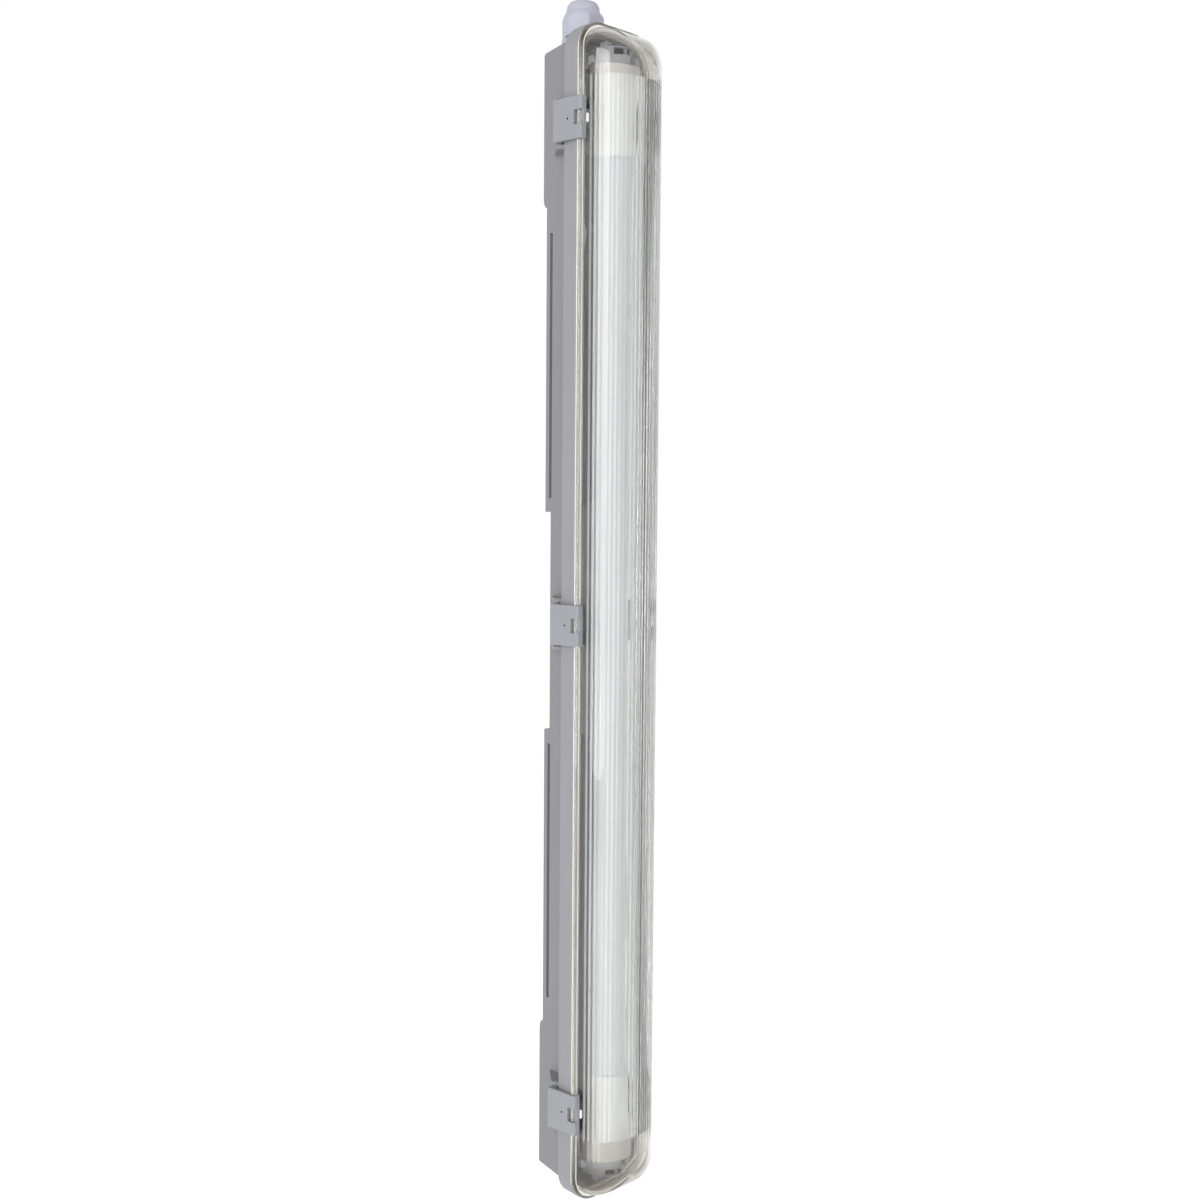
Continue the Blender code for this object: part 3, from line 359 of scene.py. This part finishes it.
def glossy_plastic(name, dark, light, rough):
    """Moulded in a polished tool: bright and smooth, with slight sink marks."""
    made, tree, shader = begin(name, {})
    place = add(tree, "ShaderNodeTexCoord").outputs["Object"]
    sink = add(tree, "ShaderNodeTexNoise", {"Vector": place}, {"Scale": 1 / SINK_MARK})
    sink = sink.outputs["Fac"]
    pair = colours(dark, light)
    colour = add(tree, "ShaderNodeMix", {"Factor": sink}, pair, data_type="RGBA")
    spread = {"To Min": rough, "To Max": rough + 0.1}
    gloss = add(tree, "ShaderNodeMapRange", {"Value": sink}, spread)
    raised = {"Strength": 0.3, "Distance": 0.00005}
    relief = add(tree, "ShaderNodeBump", {"Height": sink}, raised)
    join(tree, shader, {
        "Base Color": colour.outputs[MIXED],
        "Roughness": gloss.outputs["Result"],
        "Normal": relief.outputs["Normal"],
    })
    return made


def drawn_metal(name, dark, light, rough):
    """Plated or drawn metal: fine lines along its length, so highlights spread across it.
    The real lines of a few hundredths of a millimetre are too fine to show, so they are
    drawn 0.8 mm wide."""
    made, tree, shader = begin(name, {"Metallic": 1.0})
    place = add(tree, "ShaderNodeTexCoord").outputs["Object"]
    stretched = add(tree, "ShaderNodeMapping", {"Vector": place}, {"Scale": DRAWN_STRETCH})
    drawn = {"Scale": 1 / DRAWN_LINE, "Detail": 3.0, "Roughness": 0.6}
    lines = add(tree, "ShaderNodeTexNoise", {"Vector": stretched.outputs["Vector"]}, drawn)
    lines = lines.outputs["Fac"]
    pair = colours(dark, light)
    colour = add(tree, "ShaderNodeMix", {"Factor": lines}, pair, data_type="RGBA")
    spread = {"To Min": rough, "To Max": rough + 0.12}
    gloss = add(tree, "ShaderNodeMapRange", {"Value": lines}, spread)
    join(tree, shader, {
        "Base Color": colour.outputs[MIXED],
        "Roughness": gloss.outputs["Result"],
    })
    return made


def white_board():
    """White solder mask over glass cloth: satin, with the cloth's 0.5 mm weave faintly
    raised. A wave of scale s repeats every pi / (10 s) metres."""
    made, tree, shader = begin("white_solder_mask", {"Roughness": 0.4})
    place = add(tree, "ShaderNodeTexCoord").outputs["Object"]
    cloth = {"Scale": math.pi / 10 / BOARD_WEAVE, "Distortion": 0.4}
    weave = add(tree, "ShaderNodeTexWave", {"Vector": place}, cloth).outputs["Fac"]
    patch = add(tree, "ShaderNodeTexNoise", {"Vector": place}, {"Scale": 1 / BOARD_PATCH})
    factor, pair = {"Factor": patch.outputs["Fac"]}, colours("#E6E8E4", "#F2F3F0")
    colour = add(tree, "ShaderNodeMix", factor, pair, data_type="RGBA")
    raised = {"Strength": 0.3, "Distance": 0.00002}
    relief = add(tree, "ShaderNodeBump", {"Height": weave}, raised)
    join(tree, shader, {
        "Base Color": colour.outputs[MIXED],
        "Normal": relief.outputs["Normal"],
    })
    return made


# Shapes


def piece(data, material, body):
    """An object of the mesh, in one material, riding on a body."""
    data.materials.clear()
    data.materials.append(material)
    made = bpy.data.objects.new(data.name, data)
    bpy.context.scene.collection.objects.link(made)
    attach(made, body)
    return made


def surface(name, points, material, body):
    """A closed skin over a grid of points, whose rows are rings round the piece. The first
    and last ring close on a point or a line, or are the same ring."""
    rows, columns, _ = points.shape
    here = np.arange(rows * columns).reshape(rows, columns)
    onward = np.roll(here, -1, axis=1)
    quads = np.stack([here[:-1], onward[:-1], onward[1:], here[1:]], axis=-1).reshape(-1, 4)
    data = bpy.data.meshes.new(name)
    data.from_pydata(points.reshape(-1, 3).tolist(), [], quads.tolist())
    close_and_face_out(data)
    data.shade_smooth()
    return piece(data, material, body)


def close_and_face_out(data):
    """Joins points that meet, drops faces that vanish, and turns every face outwards."""
    bm = bmesh.new()
    bm.from_mesh(data)
    bmesh.ops.remove_doubles(bm, verts=bm.verts, dist=SKIN_JOIN)
    bmesh.ops.dissolve_degenerate(bm, edges=bm.edges, dist=SKIN_JOIN / 10)
    bmesh.ops.recalc_face_normals(bm, faces=bm.faces)
    if bm.calc_volume(signed=True) < 0:
        bmesh.ops.reverse_faces(bm, faces=bm.faces)
    bm.to_mesh(data)
    bm.free()


def rounded_outline(half_width, half_length, corner, depth, stations):
    """A rounded rectangle in X and Z: quarter arcs of the corner radius, and straight sides
    with extra points at stations."""
    corner = min(corner, half_width)
    turn = np.linspace(0, math.pi / 2, ARC_POINTS)
    across = half_width - corner + corner * np.cos(turn)
    arc = np.stack([across, half_length - corner + corner * np.sin(turn)], axis=1)
    side = np.stack([np.full(len(stations), half_width), np.asarray(stations)], axis=1)
    flat = np.concatenate([
        side,
        arc,
        arc[::-1] * (-1, 1),
        side[::-1] * (-1, 1),
        arc * (-1, -1),
        arc[::-1] * (1, -1),
    ])
    return np.stack([flat[:, 0], np.full(len(flat), -depth), flat[:, 1]], axis=1)


def rim_outline(inset, depth, stations=()):
    """The rim's outline, drawn in by inset."""
    half_width, half_length = RIM_HALF_WIDTH - inset, RIM_HALF_LENGTH - inset
    return rounded_outline(half_width, half_length, RIM_CORNER - inset, depth, stations)


def outside_rim(x, z, inset):
    """True for points of the rim outside its rounded rectangle drawn in by inset and an
    edge's width."""
    across = np.maximum(np.abs(x) - RIM_HALF_WIDTH + RIM_CORNER, 0)
    along = np.maximum(np.abs(z) - RIM_HALF_LENGTH + RIM_CORNER, 0)
    return np.hypot(across, along) > RIM_CORNER - RIM_EDGE - inset


def cover_section(inset, count):
    """Half width, half length and depth at even shares of a quarter turn a:
    w = W cos(a)^(2/p), d = D sin(a)^(2/p), and the length falls as the width does."""
    angle = np.linspace(0, 1, count) * math.pi / 2
    close = np.maximum(np.cos(angle), 0) ** (2 / COVER_POWER)
    forward = np.sin(angle) ** (2 / COVER_POWER)
    width = (COVER_HALF_WIDTH - inset) * close
    length = COVER_HALF_LENGTH - inset - COVER_END_ROUND * (1 - close)
    depth = RIM_FRONT + (COVER_DEPTH - inset - RIM_FRONT) * forward
    return width, length, depth


def ribbed_cover(ribbed, dome, rim, rim_highlight):
    """The outside is a superellipse carried round a rounded rectangle. The inside is the
    same curve drawn in by the wall, up to the smooth domes with a prism at each pitch of
    its arc length: its height at a share u of the pitch is h (1 - |2u - 1|)."""
    ends = np.array([RIB_BOTTOM - RIB_END, RIB_BOTTOM, 0.0, RIB_TOP, RIB_TOP + RIB_END])
    width, length, depth = cover_section(COVER_WALL, INSIDE_POINTS)
    steps = np.hypot(np.diff(width), np.diff(depth))
    along = np.concatenate([[0], np.cumsum(steps)])
    across, inward = np.gradient(depth, along), -np.gradient(width, along)
    prism = (along - RIB_START) / RIB_PITCH % 1
    height = np.where(along > RIB_START, RIB_HEIGHT * (1 - np.abs(2 * prism - 1)), 0.0)
    corner = COVER_CORNER - COVER_WALL
    low, high = RIB_BOTTOM - RIB_END / 2, RIB_TOP + RIB_END / 2
    rings = []
    for w, l, d, nx, nd, h in list(zip(width, length, depth, across, inward, height))[::-1]:
        ring = rounded_outline(w, l, corner, d, ends)
        prismatic = (ring[:, 2] >= low) & (ring[:, 2] <= high)
        ring[:, 0] -= np.where(prismatic, np.sign(ring[:, 0]) * nx * h, 0.0)
        ring[:, 1] += np.where(prismatic, nd * h, 0.0)
        rings.append(ring)
    rings.append(rounded_outline(width[0], length[0], corner, RIM_BACK, ends))
    highlight_depth = RIM_BACK + RIM_HIGHLIGHT_WIDTH
    rim_profile = [
        (RIM_EDGE, RIM_BACK),
        (0.0, RIM_BACK + RIM_EDGE),
        (0.0, highlight_depth),
        (0.0, RIM_FRONT - RIM_EDGE),
        (RIM_EDGE, RIM_FRONT),
        (RIM_SIDE_STEP - RIM_INNER_EDGE, RIM_FRONT),
    ]
    rings += [rim_outline(inset, d, ends) for inset, d in rim_profile]
    outside = zip(*cover_section(0.0, OUTSIDE_POINTS))
    rings += [rounded_outline(w, l, COVER_CORNER, d, ends) for w, l, d in outside]
    made = surface("ribbed_cover", np.array(rings), ribbed, "cover")
    made.data.set_sharp_from_angle(angle=math.radians(COVER_SHARP_DEGREES))

    def finish(x, y, z):
        """3 is the painted highlight on the rim's outer edge and inner corner, 2 the rest of
        the rim, 1 domes, 0 ribs.
        """
        edge = (-y < highlight_depth) & outside_rim(x, z, 0.0) & (np.abs(z) < RIM_HIGHLIGHT_END)
        front = np.abs(y + RIM_FRONT) < RIM_SLACK
        inner_corner = front & ~outside_rim(x, z, RIM_INNER_EDGE)
        domed = (z > RIB_TOP) | (z < RIB_BOTTOM)
        return np.select([edge | inner_corner, -y <= RIM_FRONT + RIM_SLACK], [3, 2], domed)

    share_out(made, (dome, rim, rim_highlight), finish)
    return made


def share_out(made, more, choose):
    """Gives each face the material whose number choose works out from the face's centre."""
    for material in more:
        made.data.materials.append(material)
    centres = np.empty(len(made.data.polygons) * 3)
    made.data.polygons.foreach_get("center", centres)
    numbers = choose(*centres.reshape(-1, 3).T).astype(np.int32)
    made.data.polygons.foreach_set("material_index", numbers)


def seal_bead(material):
    """The seal's section, carried round the rim: a flat cap, lift sqrt(sin a), spreads
    under the rim, over a stem in the groove, drop sqrt(sin a)."""
    rise = np.linspace(0, math.pi, SEAL_POINTS)
    lip = RIM_BACK - RIM_EDGE
    sections = (SEAL_INSET, SEAL_SPREAD, SEAL_LIFT), (SEAL_STEM_INSET, -SEAL_STEM, -SEAL_DROP)
    rings = [
        rim_outline(inset + reach * math.cos(a), lip + bulge * math.sqrt(abs(math.sin(a))))
        for inset, reach, bulge in sections
        for a in rise
    ]
    return surface("squeezed_seal", np.array([*rings, rings[0]]), material, "base")


def dome_nut(material):
    """Radius at turn t and height z: the softened smaller of a hexagon's six sides,
    r = F / cos(t - 30 - 60k), and a bell, r = b(z), worked out as (sum of r^-p)^(-1/p). The
    bore and the socket inside are round."""
    low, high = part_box("gland_nut")
    axis = (low + high) / 2
    corner, flats = (high.x - low.x) / 2, (high.y - low.y) / 2
    waist = high.z - NUT_DOME - NUT_CHAMFER
    skirt = [
        [corner - NUT_EDGE, low.z],
        [corner, low.z + NUT_EDGE],
        [corner * NUT_BULGE, low.z + 3 * NUT_EDGE],
        [corner * NUT_BULGE, waist - NUT_EDGE],
    ]
    shoulder = [NUT_DOME_RADIUS, waist + NUT_CHAMFER]
    chamfer = np.linspace([corner, waist], shoulder, NUT_CHAMFER_POINTS)[:-1]
    climb = np.linspace(0, math.pi / 2, NUT_DOME_POINTS)
    lip = NUT_BORE + NUT_EDGE
    crown = np.stack([
        lip + (NUT_DOME_RADIUS - lip) * np.cos(climb),
        high.z - NUT_DOME + NUT_DOME * np.sin(climb),
    ], axis=1)
    bell = np.concatenate([skirt, chamfer, crown])
    turn = np.linspace(0, 2 * math.pi, NUT_TURN_POINTS, endpoint=False)
    toward = np.cos(turn[:, None] - np.radians(30 + 60 * np.arange(6)))
    hexagon = np.sum((np.maximum(toward, 0) / flats) ** NUT_CRISPNESS, axis=1)
    outside = (hexagon[None, :] + (1 / bell[:, :1]) ** NUT_CRISPNESS) ** (-1 / NUT_CRISPNESS)
    roof = waist - NUT_EDGE
    inside = np.array([
        [NUT_BORE, high.z - NUT_EDGE],
        [NUT_BORE, roof],
        [NUT_SOCKET, roof],
        [NUT_SOCKET, low.z],
    ])
    bores = np.repeat(inside[:, :1], len(turn), axis=1)
    radius = np.concatenate([outside, bores, outside[:1]])
    height = np.concatenate([bell[:, 1], inside[:, 1], bell[:1, 1]])
    points = np.stack([
        axis.x + radius * np.cos(turn),
        axis.y + radius * np.sin(turn),
        np.repeat(height[:, None], len(turn), axis=1),
    ], axis=-1)
    made = surface("dome_nut", points, material, "gland_nut")
    made.data.set_sharp_from_angle(angle=math.radians(NUT_SHARP_DEGREES))
    return made


def cover_lugs(material):
    """Four small blocks on the rim beside the end clips: corners at centre + size s / 2 for
    the eight triples s of -1 and 1, with rounded edges."""
    ways = np.stack(np.meshgrid(*[(-1, 1)] * 3, indexing="ij"), axis=-1).reshape(8, 3)
    sides = [(0, 1, 3, 2), (4, 6, 7, 5), (0, 4, 5, 1), (2, 3, 7, 6), (0, 2, 6, 4), (1, 5, 7, 3)]
    across, along = RIM_HALF_WIDTH - LUG_INSET, LUG_HEIGHT
    out = -RIM_FRONT - LUG_RISE
    centres = np.array([(x, out, z) for x in (-across, across) for z in (-along, along)])
    corners = centres[:, None] + ways * np.array(LUG_SIZE) / 2
    faces = np.array(sides) + 8 * np.arange(len(centres))[:, None, None]
    data = bpy.data.meshes.new("cover_lugs")
    data.from_pydata(corners.reshape(-1, 3).tolist(), [], faces.reshape(-1, 4).tolist())
    made = piece(data, material, "cover")
    soften_edges(made, LUG_EDGE)
    return made


def soften_edges(made, width):
    """Rounds the sharp edges, and keeps the flat faces between them flat in their shading."""
    made.data.shade_smooth()
    bevel = made.modifiers.new("rounded edges", "BEVEL")
    bevel.width = width
    bevel.segments = EDGE_SEGMENTS
    bevel.limit_method = "ANGLE"
    bevel.angle_limit = math.radians(EDGE_DEGREES)
    bevel.harden_normals = True
    bevel.use_clamp_overlap = True
    made.modifiers.new("even shading", "WEIGHTED_NORMAL").keep_sharp = True


def rounded_copy(node, body, width, material):
    """The solid's own shape with its sharp edges rounded: loose triangles are merged and
    flat faces joined first."""
    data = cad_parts[node].data.copy()
    data.name = f"{node}_moulded"
    bm = bmesh.new()
    bm.from_mesh(data)
    bmesh.ops.remove_doubles(bm, verts=bm.verts, dist=SOLID_JOIN)
    flat = math.radians(FLAT_DEGREES)
    bmesh.ops.dissolve_limit(bm, angle_limit=flat, verts=bm.verts, edges=bm.edges)
    bmesh.ops.recalc_face_normals(bm, faces=bm.faces)
    bm.to_mesh(data)
    bm.free()
    made = piece(data, material, body)
    soften_edges(made, width)
    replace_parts(made, node)
    return made


def dress(node, material):
    """Gives a solid that stays in view its material."""
    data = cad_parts[node].data
    data.materials.clear()
    data.materials.append(material)


def tray_finish(x, y, z):
    """The tray's inside is 2, painted lighter as painted light, the outside of its back channel
    1, painted darker as painted shade, and the rest 0.
    """
    channel = CHANNEL_INSIDE - CHANNEL_FLARE * y / APRON_BACK
    # The tray's inside takes the painted light
    inside = (-y > CHANNEL_FLOOR) & (np.abs(x) < channel) & (np.abs(z) < CHANNEL_END)
    # The back channel's outside, under the apron, takes the painted shade
    back = (-y < APRON_BACK - APRON_SLACK) & (np.abs(x) > CHANNEL_INSIDE)
    return np.select([inside, back], [2, 1], 0)


# Stage


def studio():
    """A white backdrop behind the fixture in a pale grey room, a white floor well below it,
    and a large soft box."""
    world = bpy.data.worlds.new("white_backdrop_in_grey_room")
    bpy.context.scene.world = world
    world.use_nodes = True
    tree = world.node_tree
    background = tree.nodes["Background"]
    background.inputs["Color"].default_value = WHITE
    around = {0: add(tree, "ShaderNodeTexCoord").outputs["Generated"]}
    backdrop = {1: BACKDROP_TOWARD}
    facing = add(tree, "ShaderNodeVectorMath", around, backdrop, operation="DOT_PRODUCT")
    levels = {**BACKDROP_EDGE, "To Min": ROOM, "To Max": 1.0}
    white = add(tree, "ShaderNodeMapRange", {"Value": facing.outputs["Value"]}, levels)
    join(tree, background, {"Strength": white.outputs["Result"]})

    ways = (-1, -1), (1, -1), (1, 1), (-1, 1)
    corners = [(x * FLOOR_REACH, y * FLOOR_REACH, FLOOR_LEVEL) for x, y in ways]
    data = bpy.data.meshes.new("floor")
    data.from_pydata(corners, [], [(0, 1, 2, 3)])
    floor = bpy.data.objects.new("floor", data)
    bpy.context.scene.collection.objects.link(floor)
    paint, _, _ = begin("white_studio_floor", {
        "Base Color": WHITE,
        "Roughness": 1.0,
        "Emission Color": WHITE,
        "Emission Strength": FLOOR_GLOW,
    })
    data.materials.append(paint)

    data = bpy.data.lights.new("left_soft_box", "AREA")
    data.shape = "SQUARE"
    data.size = SOFT_BOX_SIZE
    data.energy = SOFT_BOX_WATTS
    lamp = bpy.data.objects.new("left_soft_box", data)
    bpy.context.scene.collection.objects.link(lamp)
    lamp.location = SOFT_BOX_PLACE
    lamp.rotation_euler = (-Vector(SOFT_BOX_PLACE)).to_track_quat("-Z", "Y").to_euler()


def camera():
    """The photograph's view: from the left and slightly above mid height, 47 degrees round
    from the front."""
    level = math.cos(CAMERA_ELEVATION)
    forward = Vector((
        math.sin(CAMERA_AZIMUTH) * level,
        math.cos(CAMERA_AZIMUTH) * level,
        math.sin(CAMERA_ELEVATION),
    ))
    right = forward.cross(Vector((0, 0, 1))).normalized()
    up = right.cross(forward)
    turned_right = right * math.cos(CAMERA_ROLL) + up * math.sin(CAMERA_ROLL)
    turned_up = up * math.cos(CAMERA_ROLL) - right * math.sin(CAMERA_ROLL)
    data = bpy.data.cameras.new("photograph")
    data.sensor_width = SENSOR_MM
    data.lens = FOCAL_PIXELS / FRAME_PIXELS * SENSOR_MM
    data.clip_start = 0.01
    made = bpy.data.objects.new("photograph", data)
    bpy.context.scene.collection.objects.link(made)
    turn = Matrix((turned_right, turned_up, -forward)).transposed().to_4x4()
    made.matrix_world = Matrix.Translation(Vector(CAMERA_PLACE)) @ turn
    bpy.context.scene.camera = made


bpy.context.scene.view_settings.view_transform = "Standard"
camera()
studio()

# The moulded greys: the tray, the outside of its back channel painted darker as painted shade,
# its inside painted lighter as painted light, the clips, the gland, the lampholders and the
# dark rotors
tray_grey = moulded_plastic(
    "spark_grained_grey_polycarbonate", "#858589", "#8B8B90", 0.45, SPARK_GRAIN
)
# The back channel's outside: the tray's grey painted darker, as painted shade under the apron
channel_painted_shade_grey = moulded_plastic(
    "grey_polycarbonate_painted_shade", "#7C7C7F", "#828285", 0.5, SATIN_GRAIN
)
# The tray's inside: its grey painted lighter, as painted light
inside_painted_light_grey = moulded_plastic(
    "grey_polycarbonate_painted_light", "#ADADB2", "#B4B4B9", 0.4, SATIN_GRAIN
)
clip_grey = moulded_plastic("grained_grey_abs", "#86898D", "#8C8F93", 0.42, SPARK_GRAIN)
gland_grey = moulded_plastic("lavender_grey_polyamide", "#A2A4B1", "#AAACB8", 0.36, SATIN_GRAIN)
holder_grey = moulded_plastic(
    "pale_grey_polycarbonate", "#C3C6D2", "#CFD2DC", 0.36, SATIN_GRAIN
)
# Graphite for the dark rotors, also used as painted shade in the bores of the clips' holes
graphite_and_bore_shade = moulded_plastic("graphite_polyamide_and_painted_shade", "#222225", "#2C2C30", 0.42, SPARK_GRAIN)

# The clear cover: its ribbed part, its smooth domes, its thick rim, and a painted highlight on
# the rim's outer edge and inner corner
clear = clear_polycarbonate("clear_ribbed_polycarbonate", "#F8F9F7", 0.0, 0.08)
# The domes and rim are painted darker towards their ends, most at the bottom, as painted shade
dome = clear_polycarbonate(
    "clear_domed_polycarbonate", "#E9E7E3", 0.0, 0.0, ends=("#DAD8D4", "#A9A49B")
)
thick = clear_polycarbonate(
    "clear_rim_polycarbonate", "#F2F0EA", 0.02, 0.25, ends=("#B2AB9E", "#A8A193")
)
rim_highlight = painted_highlight_edge()

foam = cream_foam()
rubber = black_rubber()
opal = opal_tube()
cap_white = glossy_plastic("white_polyester_caps", "#F0F0F0", "#F6F6F6", 0.28)
block_white = glossy_plastic("white_terminal_polyamide", "#E6E6E2", "#F0F0EC", 0.4)
wire_grey = glossy_plastic("pvc_wire_insulation", "#B4B4B6", "#C4C4C6", 0.42)
nickel = drawn_metal("nickel_plated_brass", "#BDBAB2", "#D2D0CA", 0.2)
bronze = drawn_metal("phosphor_bronze_strip", "#B88652", "#D6A873", 0.25)
board = white_board()

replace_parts(ribbed_cover(clear, dome, thick, rim_highlight), "diffuser")
cover_lugs(cap_white)
tray = rounded_copy("housing", "base", TRAY_EDGE, tray_grey)
share_out(tray, (channel_painted_shade_grey, inside_painted_light_grey), tray_finish)
for side in ("left", "right"):
    for place in ("top", "middle", "bottom"):
        name = f"clip_{side}_{place}"
        clip = rounded_copy(name, name, CLIP_EDGE, clip_grey)
        centre = sum(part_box(name), Vector()).z / 2
        # The hole's bore is painted black, as painted shade in the hole
        share_out(
            clip,
            (graphite_and_bore_shade,),
            lambda x, y, z: np.hypot(-y - CLIP_HOLE, z - centre) < CLIP_HOLE_RADIUS,
        )
    for place in ("top", "bottom"):
        dress(f"contact_pin_{side}_{place}", nickel)
        dress(f"holder_contact_{side}_{place}", bronze)
    dress(f"terminal_screw_{side}", nickel)
for place in ("top", "bottom"):
    rounded_copy(f"lampholder_{place}", "base", HOLDER_EDGE, holder_grey)
    dress(f"tube_cap_{place}", cap_white)
    dress(f"rotor_{place}", graphite_and_bore_shade)
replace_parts(seal_bead(foam), "gasket")
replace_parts(dome_nut(gland_grey), "gland_nut")
for finish, nodes in (
    (opal, ("lamp_tube",)),
    (board, ("led_board", "driver_board")),
    (block_white, ("terminal_block",)),
    (wire_grey, ("live_wire", "neutral_wire")),
    (gland_grey, ("gland_body", "gland_locknut")),
    (rubber, ("gland_washer", "gland_seal")),
):
    for node in nodes:
        dress(node, finish)

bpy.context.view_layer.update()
